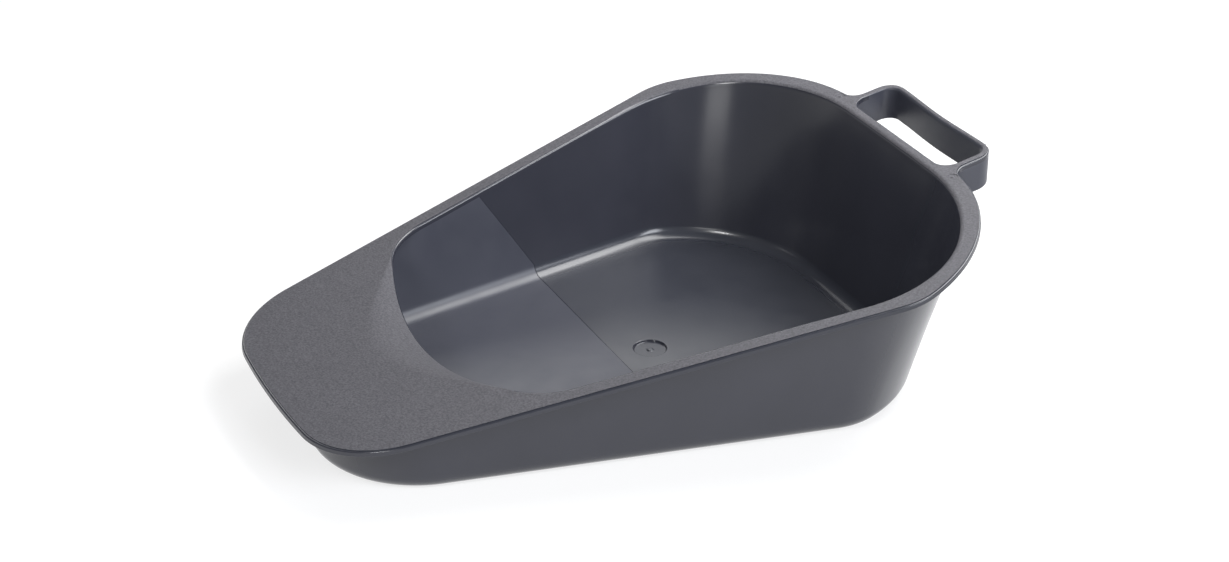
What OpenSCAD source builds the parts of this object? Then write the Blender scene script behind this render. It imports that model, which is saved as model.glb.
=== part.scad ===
// Fracture bedpan: a one-piece moulded pan with a sloping rim, a low toe under a
// dished guard plate, a deep rounded back and a loop handle.
// X is the width (the pan is symmetric about X = 0), -Y is the toe, +Y the handle, +Z up.
// The origin is under the middle of the bounding box, on the surface the pan stands on.

/* [Rim] */
// Angle of the rim plane, rising from toe to handle (degrees)
rim_slope = 11; // [9:0.5:13]
// Height of the rim's top face at the toe
toe_h = 25; // [22:0.5:30]
// Length of the rim plane along its slope, toe to back edge
rim_l = 328; // [320:1:336]
// Half width that the rim's straight sides point to at the toe
rim_side = 69.6; // [68:0.2:72]
// Angle of the rim's straight sides from the middle line (degrees)
rim_taper = 13.1; // [12.5:0.1:13.5]
// Thickness of the rim, measured upright
rim_t = 2.5; // [2:0.1:3]

/* [Opening] */
// Distance along the slope from the toe to the opening's front edge
opening_front = 74; // [68:1:80]
// Width of the rim along the sides and round the back
rim_w = 9.4; // [8.5:0.1:10.4]

/* [Guard plate] */
// Distance along the slope from the toe to the crease where the plate starts to dip
crease_front = 50; // [45:1:58]
// Depth of the dip at the middle of the plate's rear edge
lip_drop = 8.6; // [5:0.2:10]
// How late the dip sets in between the crease and the rear edge (1 is a straight ramp)
lip_curl = 1.8; // [1:0.1:3]

/* [Body] */
// Thickness of the walls and the floor
wall_t = 2.2; // [1.8:0.1:2.6]
// Inside radius between the floor and the walls
bend_r = 7; // [5:0.5:8]
// Distance of the base's sharp outline from the toe
base_front = 12.6; // [11:0.2:15]
// Distance of the base's sharp outline at the back from the toe
base_back = 294; // [288:1:298]
// Half width that the base's straight sides point to at the toe
base_side = 59.3; // [57:0.2:61]
// Distance of the toe wall's inner face from the toe, under the guard plate
toe_wall_front = 11.2; // [10:0.2:13]
// Distance from the toe, on the floor, of the line where the two mould cores meet
core_line_floor_y = 168; // [155:1:180]
// Distance from the toe of the same line at the top of the walls
core_line_top_y = 141; // [130:1:150]

/* [Handle] */
// Outside width of the loop
loop_w = 92; // [86:1:98]
// Distance that the loop stands out behind the rim, along the slope
loop_out = 21.4; // [18:0.2:26]
// Upright height of the loop's strap
strap_h = 16.4; // [12:0.2:20]
// Thickness of the loop's two arms
arm_t = 4.2; // [3:0.2:5]
// Thickness of the loop's bar
bar_t = 2.6; // [2:0.2:4]

/* [Gate mark] */
// Distance of the gate mark from the toe
gate_y = 186.8; // [182:0.2:192]
// Diameter of the round recess in the floor
gate_d = 16; // [12:0.5:18]
// Depth of the recess
gate_depth = 1.1; // [0.6:0.1:1.3]
// Diameter of the broken sprue in its middle
vestige_d = 2.8; // [2:0.2:4]

/* [Hidden] */

moulding_grey = [0.30, 0.30, 0.34];
smooth_grey = [0.20, 0.21, 0.25];

slope_cos = cos(rim_slope);
slope_tan = tan(rim_slope);
opening_side = rim_side - rim_w;

// Overall length, toe to the outside of the bar, in plan
loop_back = (rim_l + loop_out) * slope_cos;
mid_y = loop_back / 2;

// The finger hole between the rim and the loop
loop_half = loop_w / 2;
hole_half = loop_half - arm_t;
hole_front_inset = 5.3;
hole_front = (rim_l - hole_front_inset) * slope_cos;

// The turns of the bowed fronts and backs of the outlines (degrees), and the radii of their
// corners. A back corner is two arcs: the flank's, which takes a share of the turn, and the back's.
rim_bow = 4.3;
rim_corner_r = 45;
rim_flank_r = 32;
rim_flank_share = 0.33;
rim_back_r = 89;
rim_back_bow = 5.6;
opening_bow = 21;
opening_corner_r = 33.7;
opening_flank_r = 59;
opening_flank_share = 0.62;
opening_back_r = 92;
opening_back_bow = 1;
toe_wall_bow = 4;
toe_wall_corner_r = 44;
base_bow = 2.7;
base_corner_r = 52.4;
base_taper = 10.9;
base_flank_r = 32.3;
base_flank_share = 0.31;
base_back_r = 72.9;
base_back_bow = 0.6;

// The rim is wider than rim_w by this much in the middle of the back
back_extra = 0.9;

// Segments in each stretch of half an outline: front, corner, side up to the core line, side
// behind it, back corner and back
shell_segs = [3, 8, 3, 3, 12, 3];
rim_segs = [12, 12, 1, 1, 18, 3];
core_station = shell_segs[0] + shell_segs[1] + shell_segs[2];

// Height of the rim's top plane over a place in plan
function rim_z(y) = toe_h + y * slope_tan;

// The end of an arc that turns left from a heading
function arc_end(start, heading, r, turn) =
    start + r * [sin(heading + turn) - sin(heading), cos(heading) - cos(heading + turn)];

// Points along an arc, without its first point
function arc(start, heading, r, turn, n) =
    [for (i = [1:n]) arc_end(start, heading, r, turn * i / n)];

// Points at equal turns along two arcs, without the first point. share is the first arc's part
// of the turn.
function two_arcs(start, heading, r_1, r_2, turn, share, n) =
    let (joint = arc_end(start, heading, r_1, turn * share))
    [for (i = [1:n])
        i / n <= share
            ? arc_end(start, heading, r_1, turn * i / n)
            : arc_end(joint, heading + turn * share, r_2, turn * (i / n - share))];

// Points along a straight line, without its first point
function line(from, to, n) = [for (i = [1:n]) from + (to - from) * i / n];

function last(points) = points[len(points) - 1];

// Half of a pan outline, from the front centre to the back centre.
// It runs through a slightly bowed front, a corner, a straight tapering side, a back corner of
// two arcs and a slightly bowed back. grow moves the whole outline outwards.
function half_outline(front, bow, corner, side, taper, flank, back_corner, share, back_bow, back,
                      core_y, segs, grow = 0) =
    let (
        heading = 90 - taper,
        side_0 = side + grow / cos(taper),
        front_0 = front - grow,
        corner_r = corner + grow,
        flank_r = flank + grow,
        back_r = back_corner + grow,
        back_0 = back + grow,
        corner_x = corner_r * (sin(heading) - sin(bow)),
        corner_y = corner_r * (cos(bow) - cos(heading)),
        front_w = (side_0 - corner_x + (front_0 + corner_y) * tan(taper))
                  / (1 - tan(bow / 2) * tan(taper)),
        front_arc = arc([0, front_0], 0, front_w / sin(bow), bow, segs[0]),
        corner_arc = arc(last(front_arc), bow, corner_r, heading - bow, segs[1]),
        side_start = last(corner_arc),
        turn = 180 - back_bow - heading,
        bend_end = two_arcs([0, 0], heading, flank_r, back_r, turn, share, 1)[0],
        closing = tan(back_bow / 2),
        side_l = (back_0 - side_start.y - bend_end.y - closing * (side_start.x + bend_end.x))
                 / (sin(heading) + closing * cos(heading)),
        side_end = side_start + side_l * [cos(heading), sin(heading)],
        core_point = side_start + (core_y - side_start.y) * [1 / tan(heading), 1],
        back_corner_arc = two_arcs(side_end, heading, flank_r, back_r, turn, share, segs[4]),
        back_end = last(back_corner_arc),
        back_arc = arc(back_end, 180 - back_bow, back_end.x / sin(back_bow), back_bow, segs[5])
    )
    concat([[0, front_0]], front_arc, corner_arc, line(side_start, core_point, segs[2]),
           line(core_point, side_end, segs[3]), back_corner_arc, back_arc);

// Outlines in the rim plane are laid down into plan by shortening them along Y
function in_plan(points) = [for (p = points) [p.x, p.y * slope_cos]];

// A whole outline, counter-clockwise from the front centre, from its half
function whole(half) =
    concat(half, [for (i = [len(half) - 2:-1:1]) [-half[i].x, half[i].y]]);

core_y = core_line_top_y / slope_cos;
opening_back = rim_l - rim_w - back_extra;
rim_half = in_plan(half_outline(0, rim_bow, rim_corner_r, rim_side, rim_taper, rim_flank_r,
                                rim_back_r, rim_flank_share, rim_back_bow, rim_l, core_y,
                                rim_segs));
opening_half = in_plan(half_outline(opening_front, opening_bow, opening_corner_r, opening_side,
                                    rim_taper, opening_flank_r, opening_back_r,
                                    opening_flank_share, opening_back_bow, opening_back, core_y,
                                    rim_segs));
wall_top_half = in_plan(half_outline(toe_wall_front, toe_wall_bow, toe_wall_corner_r,
                                     opening_side, rim_taper, opening_flank_r, opening_back_r,
                                     opening_flank_share, opening_back_bow, opening_back, core_y,
                                     shell_segs, wall_t));
base_half = half_outline(base_front, base_bow, base_corner_r, base_side, base_taper,
                         base_flank_r, base_back_r, base_flank_share, base_back_bow, base_back,
                         core_line_floor_y, shell_segs);
rim_outline = whole(rim_half);
opening_outline = whole(opening_half);
wall_top_outline = whole(wall_top_half);
base_outline = whole(base_half);
stations = len(base_outline);

// The outward direction in plan at a point of an outline
function outward(outline, i) =
    let (along = outline[around(i + 1)] - outline[around(i - 1)])
    [along.y, -along.x] / norm(along);

// The wall's cross-section at a station: its rise, how far it reaches outwards, and its lean
function wall_top_z(i) = rim_z(wall_top_outline[i].y) - rim_t;
function reach(i) = (wall_top_outline[i] - base_outline[i]) * outward(base_outline, i);
function lean(i) = atan(reach(i) / wall_top_z(i));
function tangent_back(i) = (bend_r + wall_t) * tan((90 - lean(i)) / 2);

// A point of the base's cross-section, from its distance outwards and its height
function section(i, out, z) =
    let (p = base_outline[i] + outward(base_outline, i) * out) [p.x, p.y, z];

// A point of the bend at an angle up from the floor
function bend_point(i, r, angle) =
    section(i, r * sin(angle) - tangent_back(i), bend_r + wall_t - r * cos(angle));

// Rings of the bend between floor and wall, closed round the material
bend_steps = 6;
function bend_ring(i) =
    let (top = 90 - lean(i))
    concat([for (k = [0:bend_steps]) bend_point(i, bend_r + wall_t, top * k / bend_steps)],
           [for (k = [bend_steps:-1:0]) bend_point(i, bend_r, top * k / bend_steps)]);

// Rings of the wall from the bend up to the underside of the rim
function wall_ring(i) =
    let (
        bend_top = 90 - lean(i),
        outer = wall_top_outline[i],
        inner = outer - outward(wall_top_outline, i) * wall_t / cos(lean(i))
    )
    [bend_point(i, bend_r + wall_t, bend_top),
     [outer.x, outer.y, rim_z(outer.y) - rim_t],
     [inner.x, inner.y, rim_z(inner.y) - rim_t],
     bend_point(i, bend_r, bend_top)];

// Stations run past the seam at the front centre, so they are taken round the loop
function around(i) = (i + stations) % stations;
front_stations = [for (i = [-core_station:core_station]) around(i)];
rear_stations = [for (i = [core_station:stations - core_station]) i];

// A solid through a row of rings with the same number of points
module loft(rings) {
    n = len(rings[0]);
    m = len(rings);
    points = [for (ring = rings) for (p = ring) p];
    sides = [for (i = [0:m - 2]) for (k = [0:n - 1])
        let (a = i * n + k, b = i * n + (k + 1) % n)
        each [[a, b, b + n], [a, b + n, a + n]]];
    start_cap = [[for (k = [n - 1:-1:0]) k]];
    end_cap = [[for (k = [0:n - 1]) (m - 1) * n + k]];
    polyhedron(points, concat(sides, start_cap, end_cap), convexity = 10);
}

// Moves a part from its place behind the toe to the frame's origin
module place() {
    translate([0, -mid_y, 0]) children();
}

// The slab between the rim's top plane and a plane an upright distance below it
module rim_slab(depth) {
    span = 2 * loop_back;
    rotate([90, 0, 90])
        translate([0, 0, -span / 2])
            linear_extrude(height = span)
                polygon([[-10, rim_z(-10) - depth], [span, rim_z(span) - depth],
                         [span, rim_z(span)], [-10, rim_z(-10)]]);
}

// A plan shape cut to the thickness of the rim, or to the height of the strap
module on_rim(depth = rim_t) {
    intersection() {
        rim_slab(depth);
        linear_extrude(height = 2 * rim_z(loop_back)) children();
    }
}

// --- floor and walls ---

module floor_panel() {
    floor_outline = [for (i = [0:stations - 1])
        let (p = section(i, -tangent_back(i), 0)) [p.x, p.y]];
    color(smooth_grey)
        place()
            difference() {
                linear_extrude(height = wall_t) polygon(floor_outline);
                translate([0, gate_y, wall_t - gate_depth])
                    cylinder(d = gate_d, h = gate_depth + 1, $fn = 64);
            }
}

module gate_vestige() {
    color(smooth_grey)
        place()
            translate([0, gate_y, wall_t - gate_depth])
                cylinder(d = vestige_d, h = gate_depth / 2, $fn = 32);
}

module base_bend_front() {
    color(smooth_grey) place() loft([for (i = front_stations) bend_ring(i)]);
}

module base_bend_rear() {
    color(smooth_grey) place() loft([for (i = rear_stations) bend_ring(i)]);
}

module wall_front() {
    color(smooth_grey) place() loft([for (i = front_stations) wall_ring(i)]);
}

module wall_rear() {
    color(smooth_grey) place() loft([for (i = rear_stations) wall_ring(i)]);
}

// --- rim and guard plate ---

// The lip's rear edge is the opening's front edge and part of its corners. Its crease bends round
// that edge and meets it at both ends, where the lip's width runs out.
lip_stations = rim_segs[0] + 3;
lip_end = opening_half[lip_stations];
lip_end_w = 0.4;
crease_sharp = 40;
function crease_rise(x) = sqrt(x * x + crease_sharp * crease_sharp) - crease_sharp;
function crease_y(x) =
    let (start = crease_front * slope_cos, end = lip_end.y - lip_end_w)
    start + (end - start) * crease_rise(x) / crease_rise(lip_end.x);
function drop_at(x) = lip_drop * (1 - pow(x / lip_end.x, 2));
plate_back = crease_y(lip_end.x);

lip_edge = concat([for (i = [lip_stations:-1:1]) [-opening_half[i].x, opening_half[i].y]],
                  [for (i = [0:lip_stations]) opening_half[i]]);
lip_crease = [for (p = lip_edge) [p.x, crease_y(p.x)]];

// A point on the lip's top: t runs from 0 at the crease to 1 at the rear edge
lip_rows = 6;
function lip_top(i, t) =
    let (p = lip_crease[i] + (lip_edge[i] - lip_crease[i]) * t)
    [p.x, p.y, rim_z(p.y) - drop_at(p.x) * pow(t, lip_curl)];

function lip_ring(i) =
    let (top = [for (k = [0:lip_rows]) lip_top(i, k / lip_rows)])
    concat(top, [for (k = [lip_rows:-1:0]) top[k] - [0, 0, rim_t]]);

module guard_lip() {
    color(moulding_grey) place() loft([for (i = [len(lip_edge) - 1:-1:0]) lip_ring(i)]);
}

module guard_plate() {
    behind_crease = concat([[-lip_end.x, rim_l]], lip_crease, [[lip_end.x, rim_l]]);
    color(moulding_grey)
        place()
            on_rim()
                difference() {
                    polygon(rim_outline);
                    translate([-rim_l / 2, plate_back]) square(rim_l);
                    polygon(behind_crease);
                }
}

module rim_plan() {
    difference() {
        polygon(rim_outline);
        polygon(opening_outline);
        translate([-rim_l / 2, plate_back - rim_l]) square(rim_l);
        translate([-hole_half, hole_front]) square([2 * hole_half, rim_l]);
    }
    for (side = [0, 1]) mirror([side, 0]) arm_root_plan();
}

// The rim runs into an arm through a rounded corner on each side of it
inner_root_r = 8;
outer_root_r = 7;
outer_root_y = hole_front + outer_root_r + 2.4;
module arm_root_plan() {
    difference() {
        translate([hole_half - inner_root_r, hole_front - 1])
            square([inner_root_r, inner_root_r + 1]);
        translate([hole_half - inner_root_r, hole_front + inner_root_r])
            circle(inner_root_r, $fn = 96);
    }
    difference() {
        translate([loop_half, hole_front])
            square([outer_root_r, outer_root_y - hole_front]);
        translate([loop_half + outer_root_r, outer_root_y])
            circle(outer_root_r, $fn = 96);
    }
}

module rim_flange() {
    color(moulding_grey) place() on_rim() rim_plan();
}

// --- handle ---

loop_corner = 9;
bar_front = loop_back - loop_corner;
bar_bow = 1;
bar_bow_r = pow(loop_w - 2 * loop_corner, 2) / (8 * bar_bow);

// A plan shape with straight arms and rounded back corners. Its back edge bows in by bar_bow.
module loop_plan(half, back, r) {
    difference() {
        union() {
            translate([-half, hole_front]) square([2 * half, back - r - hole_front]);
            translate([-half + r, hole_front]) square([2 * (half - r), back - hole_front]);
            for (side = [-1, 1])
                translate([side * (half - r), back - r]) circle(r, $fn = 96);
        }
        translate([0, back - bar_bow + bar_bow_r]) circle(bar_bow_r, $fn = 720);
    }
}

module handle_bar() {
    color(moulding_grey)
        place()
            on_rim(strap_h)
                difference() {
                    loop_plan(loop_half, loop_back, loop_corner);
                    loop_plan(hole_half, loop_back - bar_t, loop_corner - bar_t);
                    translate([-loop_w, 0]) square([2 * loop_w, bar_front]);
                }
}

// The space inside the walls' outer faces, from the standing surface to the rim's underside
module shell_space() {
    foot = [for (i = [0:stations - 1])
        let (p = bend_point(i, bend_r + wall_t, 90 - lean(i))) [p.x, p.y, 0]];
    waist = [for (i = [0:stations - 1]) bend_point(i, bend_r + wall_t, 90 - lean(i))];
    top = [for (i = [0:stations - 1])
        let (p = wall_top_outline[i]) [p.x, p.y, wall_top_z(i)]];
    walls = [for (level = [0, 1]) for (i = [0:stations - 1])
        let (a = level * stations + i, b = level * stations + around(i + 1))
        each [[a, b, b + stations], [a, b + stations, a + stations]]];
    bottom_cap = [[for (i = [0:stations - 1]) i]];
    top_cap = [[for (i = [stations - 1:-1:0]) 2 * stations + i]];
    polyhedron(concat(foot, waist, top), concat(walls, bottom_cap, top_cap), convexity = 10);
}

// One arm of the loop, from the back wall to the bar. side is -1 for left and 1 for right. It is
// drawn from well inside the wall and then cut back to the wall's face.
module handle_arm(side) {
    arm_front = opening_back * slope_cos - 12;
    arm_x = side > 0 ? hole_half : -loop_half;
    color(moulding_grey)
        place()
            difference() {
                on_rim(strap_h)
                    translate([arm_x, arm_front]) square([arm_t, bar_front - arm_front]);
                on_rim() polygon(rim_outline);
                shell_space();
            }
}

module handle_arm_left() {
    handle_arm(-1);
}

module handle_arm_right() {
    handle_arm(1);
}

floor_panel();
base_bend_front();
base_bend_rear();
wall_front();
wall_rear();
rim_flange();
guard_plate();
guard_lip();
handle_arm_left();
handle_arm_right();
handle_bar();
gate_vestige();
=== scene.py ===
"""A moulded fracture bedpan: smooth, edge-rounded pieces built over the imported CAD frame.

The whole pan is one plastic moulding. Each piece below stands for one CAD node, and neighbouring pieces
share their edge points and shading normals, so the seams between them don't show.
Shapes are worked out in millimetres, with Y counted from the toe, and become metres in build_meshes().
"""
import math

import bmesh
import bpy
import numpy as np
from mathutils import Matrix, Vector
from mathutils.geometry import delaunay_2d_cdt


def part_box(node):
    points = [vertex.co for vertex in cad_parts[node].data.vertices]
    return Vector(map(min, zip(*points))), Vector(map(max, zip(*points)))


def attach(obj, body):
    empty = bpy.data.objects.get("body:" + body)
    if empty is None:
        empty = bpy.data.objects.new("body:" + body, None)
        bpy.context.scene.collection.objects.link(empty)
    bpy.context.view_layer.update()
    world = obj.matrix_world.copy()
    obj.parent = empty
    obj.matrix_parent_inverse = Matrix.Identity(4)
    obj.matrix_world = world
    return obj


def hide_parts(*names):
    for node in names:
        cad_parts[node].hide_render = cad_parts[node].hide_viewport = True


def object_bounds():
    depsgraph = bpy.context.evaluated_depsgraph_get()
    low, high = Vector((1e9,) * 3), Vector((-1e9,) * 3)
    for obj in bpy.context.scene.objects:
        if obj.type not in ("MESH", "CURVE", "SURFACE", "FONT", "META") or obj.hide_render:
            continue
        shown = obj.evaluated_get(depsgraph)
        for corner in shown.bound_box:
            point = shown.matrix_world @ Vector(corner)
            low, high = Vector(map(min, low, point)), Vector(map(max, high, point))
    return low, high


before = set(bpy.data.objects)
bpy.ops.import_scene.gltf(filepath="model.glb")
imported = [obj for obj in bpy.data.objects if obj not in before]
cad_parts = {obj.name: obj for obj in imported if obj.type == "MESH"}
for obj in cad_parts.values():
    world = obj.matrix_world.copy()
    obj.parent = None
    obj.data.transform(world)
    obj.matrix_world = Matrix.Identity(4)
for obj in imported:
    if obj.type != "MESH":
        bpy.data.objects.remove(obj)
cad_low, cad_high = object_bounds()

MM = 0.001
TOE_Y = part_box("guard_plate")[0].y

# --- driving dimensions, as in the CAD model ---

SLOPE = math.radians(11)
TOE_H = 25.0
RIM_L = 328.0
RIM_SIDE = 69.6
RIM_TAPER = math.radians(13.1)
RIM_T = 2.5
OPENING_FRONT = 74.0
RIM_W = 9.4
CREASE_FRONT = 50.0
LIP_DROP = 8.6
WALL_T = 2.2
BEND_R = 7.0
BASE_FRONT = 12.6
BASE_BACK = 294.0
BASE_SIDE = 59.3
BASE_TAPER = math.radians(10.9)
TOE_WALL_FRONT = 11.2
CORE_FLOOR_Y = 168.0
CORE_TOP_Y = 141.0
LOOP_W = 92.0
LOOP_OUT = 21.4
STRAP_H = 16.4
ARM_T = 4.2
BAR_T = 2.6
GATE_Y = 186.8
GATE_D = 16.0
GATE_DEPTH = 1.1
VESTIGE_D = 2.8
BACK_EXTRA = 0.9
HOLE_FRONT_INSET = 5.3

# Detail that the CAD model leaves out
EDGE_R = 0.6
MOUTH_R = 1.3
MOUTH_BACK_R = 2.8
LIP_TOP_R = 1.2
LIP_BOTTOM_R = 0.8
WALL_FILLET_R = 1.6
FLASH = 0.14
GROOVE_HALF = 0.25
GROOVE_DEPTH = 0.13
PIN_R = 2.5
PIN_STEP = 0.25
PIN_DEPTH = 0.3
PIN_NUB_FOOT_R = 0.9
PIN_NUB_TOP_R = 0.5

COS_SLOPE = math.cos(SLOPE)
TAN_SLOPE = math.tan(SLOPE)
OPENING_SIDE = RIM_SIDE - RIM_W
OPENING_BACK = RIM_L - RIM_W - BACK_EXTRA
LOOP_HALF = LOOP_W / 2
HOLE_HALF = LOOP_HALF - ARM_T
HOLE_FRONT = (RIM_L - HOLE_FRONT_INSET) * COS_SLOPE
LOOP_BACK = (RIM_L + LOOP_OUT) * COS_SLOPE


def rim_z(y):
    """Height of the rim's top plane over a place in plan."""
    return TOE_H + y * TAN_SLOPE


# --- outlines ---


def arc_end(start, heading, r, turn):
    """The end of an arc that turns left from a heading."""
    return start + r * np.array(
        [
            math.sin(heading + turn) - math.sin(heading),
            math.cos(heading) - math.cos(heading + turn),
        ]
    )


class HalfOutline:
    """Half a pan outline: a bowed front, a corner, a straight tapering side, a back corner of two
    arcs and a bowed back. Angles are in radians, and headings run counter-clockwise from +X.

    front and back are where the outline crosses the middle line. bow and back_bow are half the
    turn of the front and of the back. corner, flank and back_corner are radii, and share is the
    flank's part of the back corner's turn. side is the half width that the side's line has at
    y = 0, and taper its angle. grow moves the whole outline outwards."""

    def __init__(
        self, front, bow, corner, side, taper, flank, back_corner, share, back_bow, back, grow=0.0
    ):
        self.bow, self.share, self.back_bow = bow, share, back_bow
        self.heading = math.pi / 2 - taper
        self.front = front - grow
        self.corner_r = corner + grow
        self.flank_r = flank + grow
        self.back_r = back_corner + grow
        side_0 = side + grow / math.cos(taper)
        corner_x = self.corner_r * (math.sin(self.heading) - math.sin(bow))
        corner_y = self.corner_r * (math.cos(bow) - math.cos(self.heading))
        front_w = (side_0 - corner_x + (self.front + corner_y) * math.tan(taper)) / (
            1 - math.tan(bow / 2) * math.tan(taper)
        )
        self.front_r = front_w / math.sin(bow)
        self.corner_start = arc_end(np.array([0, self.front]), 0, self.front_r, bow)
        self.side_start = arc_end(self.corner_start, bow, self.corner_r, self.heading - bow)
        self.turn = math.pi - back_bow - self.heading
        bend = self.back_corner_point(np.zeros(2), 1)
        closing = math.tan(back_bow / 2)
        back_gap = back + grow - self.side_start[1] - bend[1]
        side_l = (back_gap - closing * (self.side_start[0] + bend[0])) / (
            math.sin(self.heading) + closing * math.cos(self.heading)
        )
        along = np.array([math.cos(self.heading), math.sin(self.heading)])
        self.side_end = self.side_start + along * side_l

    def back_corner_point(self, start, part):
        """The point of the back corner after part of its turn."""
        joint = arc_end(start, self.heading, self.flank_r, self.turn * self.share)
        if part <= self.share:
            return arc_end(start, self.heading, self.flank_r, self.turn * part)
        joint_heading = self.heading + self.turn * self.share
        return arc_end(joint, joint_heading, self.back_r, self.turn * (part - self.share))

    def side_point(self, y):
        return self.side_start + (y - self.side_start[1]) * np.array([1 / math.tan(self.heading), 1])

    def sample(self, counts, marks, squash=1.0):
        """Points and outward normals. counts are the segments of the front, corner, each stretch of
        the side between marks, back corner and back. squash shortens the outline along Y."""
        points = [np.array([0, self.front])]
        headings = [0.0]

        def run(n, point, heading):
            for i in range(1, n + 1):
                points.append(point(i / n))
                headings.append(heading(i / n))

        n_front, n_corner, n_side, n_back_corner, n_back = counts
        run(n_front, lambda t: arc_end(points[0], 0, self.front_r, self.bow * t), lambda t: self.bow * t)
        corner_turn = self.heading - self.bow
        run(
            n_corner,
            lambda t: arc_end(self.corner_start, self.bow, self.corner_r, corner_turn * t),
            lambda t: self.bow + corner_turn * t,
        )
        stops = [self.side_start] + [self.side_point(y) for y in marks] + [self.side_end]
        for n, low, high in zip(n_side, stops, stops[1:]):
            run(n, lambda t, a=low, b=high: a + (b - a) * t, lambda t: self.heading)
        run(
            n_back_corner,
            lambda t: self.back_corner_point(self.side_end, t),
            lambda t: self.heading + self.turn * t,
        )
        corner_end = points[-1]
        back_r = corner_end[0] / math.sin(self.back_bow)
        run(
            n_back,
            lambda t: arc_end(corner_end, math.pi - self.back_bow, back_r, self.back_bow * t),
            lambda t: math.pi - self.back_bow * (1 - t),
        )
        points, headings = np.array(points), np.array(headings)
        normals = np.stack([np.sin(headings) * squash, -np.cos(headings)], 1)
        normals /= np.linalg.norm(normals, axis=1)[:, None]
        return points * [1, squash], normals


def whole(half):
    """A loop of points or normals from its right half: the left half mirrored, without the ends."""
    return np.concatenate([half, half[-2:0:-1] * [-1, 1]])


RIM = HalfOutline(
    front=0.0,
    bow=math.radians(4.3),
    corner=45.0,
    side=RIM_SIDE,
    taper=RIM_TAPER,
    flank=32.0,
    back_corner=89.0,
    share=0.33,
    back_bow=math.radians(5.6),
    back=RIM_L,
)
BASE = HalfOutline(
    front=BASE_FRONT,
    bow=math.radians(2.7),
    corner=52.4,
    side=BASE_SIDE,
    taper=BASE_TAPER,
    flank=32.3,
    back_corner=72.9,
    share=0.31,
    back_bow=math.radians(0.6),
    back=BASE_BACK,
)
OPENING_REAR = {
    "side": OPENING_SIDE,
    "taper": RIM_TAPER,
    "flank": 59.0,
    "back_corner": 92.0,
    "share": 0.62,
    "back_bow": math.radians(1),
    "back": OPENING_BACK,
}
WALL_FRONT = {"front": TOE_WALL_FRONT, "bow": math.radians(4), "corner": 44.0}
OPENING = HalfOutline(front=OPENING_FRONT, bow=math.radians(21), corner=33.7, **OPENING_REAR)
WALL_TOP = HalfOutline(**WALL_FRONT, **OPENING_REAR)
WALL_TOP_OUTER = HalfOutline(**WALL_FRONT, **OPENING_REAR, grow=WALL_T)


def core_marks(join, core):
    return [join, core - GROOVE_HALF, core, core + GROOVE_HALF]


# The mouth's straight sides start at the join, and run on the walls' tops from there
MOUTH_JOIN = OPENING.side_start[1]
CORE_TOP = CORE_TOP_Y / COS_SLOPE
TOP_MARKS = core_marks(MOUTH_JOIN, CORE_TOP)


def base_marks():
    """Places along the base's side that go with the marks along the wall's top."""
    top_start, base_start = WALL_TOP.side_start[1], BASE.side_start[1]
    share = (MOUTH_JOIN - top_start) / (CORE_TOP - top_start)
    return core_marks(base_start + share * (CORE_FLOOR_Y - base_start), CORE_FLOOR_Y)


# Segments along each stretch of the shell's outlines
N_FRONT, N_CORNER = 16, 28
N_TO_JOIN, N_TO_CORE, N_REAR_SIDE = 16, 16, 30
N_BACK_CORNER, N_BACK = 60, 16
SHELL_COUNTS = [N_FRONT, N_CORNER, [N_TO_JOIN, N_TO_CORE, 1, 1, N_REAR_SIDE], N_BACK_CORNER, N_BACK]
JOIN_STATION = N_FRONT + N_CORNER + N_TO_JOIN
CORE_STATION = JOIN_STATION + N_TO_CORE + 1

base_points, base_normals = (whole(a) for a in BASE.sample(SHELL_COUNTS, base_marks()))
inner_points, _ = (whole(a) for a in WALL_TOP.sample(SHELL_COUNTS, TOP_MARKS, COS_SLOPE))
outer_points, outer_normals = (whole(a) for a in WALL_TOP_OUTER.sample(SHELL_COUNTS, TOP_MARKS, COS_SLOPE))
STATIONS = len(base_points)


# --- small geometry helpers ---


def fillet(before, corner, after, r, n):
    """Points of an arc of radius r that rounds off a corner between two straight lines."""
    to_before = (before - corner) / np.linalg.norm(before - corner)
    to_after = (after - corner) / np.linalg.norm(after - corner)
    half = math.acos(np.clip(np.dot(to_before, to_after), -1, 1)) / 2
    middle = (to_before + to_after) / np.linalg.norm(to_before + to_after)
    centre = corner + middle * r / math.sin(half)
    start = corner + to_before * r / math.tan(half) - centre
    end = corner + to_after * r / math.tan(half) - centre
    sweep = math.pi - 2 * half
    points = []
    for i in range(n + 1):
        done, left = math.sin(sweep * i / n), math.sin(sweep * (1 - i / n))
        points.append(centre + (start * left + end * done) / math.sin(sweep))
    return points


def plan_point(xy, z):
    return np.array([xy[0], xy[1], z])


def circle(x, y, r, z, n):
    turns = np.linspace(0, 2 * math.pi, n, False)
    return [np.array([x + r * math.cos(a), y + r * math.sin(a), z]) for a in turns]


# Flat faces count this much more in the shading normals than the roundings that start from them
FLAT_WEIGHT = 50.0
TINY = 1e-6


class Piece:
    """A closed mesh that grows face by face. Points in the same place are one vertex."""

    every = {}

    def __init__(self, name):
        self.name = name
        self.index, self.points, self.faces, self.groups, self.weights = {}, [], [], [], []
        Piece.every[name] = self

    def vertex(self, point):
        key = tuple(round(float(c), 4) for c in point)
        if key not in self.index:
            self.index[key] = len(self.points)
            self.points.append(key)
        return self.index[key]

    def face(self, points, group, weight=1.0):
        """weight says how much the face counts for the shading normals of its points."""
        ids = [self.vertex(p) for p in points]
        ids = [v for i, v in enumerate(ids) if v != ids[i - 1]]
        if len(set(ids)) > 2:
            self.faces.append(ids)
            self.groups.append(group)
            self.weights.append(weight)

    def quads(self, row_a, row_b, group):
        for i in range(len(row_a) - 1):
            self.face([row_a[i], row_a[i + 1], row_b[i + 1], row_b[i]], group)

    def loft(self, rows, group):
        for row_a, row_b in zip(rows, rows[1:]):
            self.quads(row_a, row_b, group)


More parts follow.
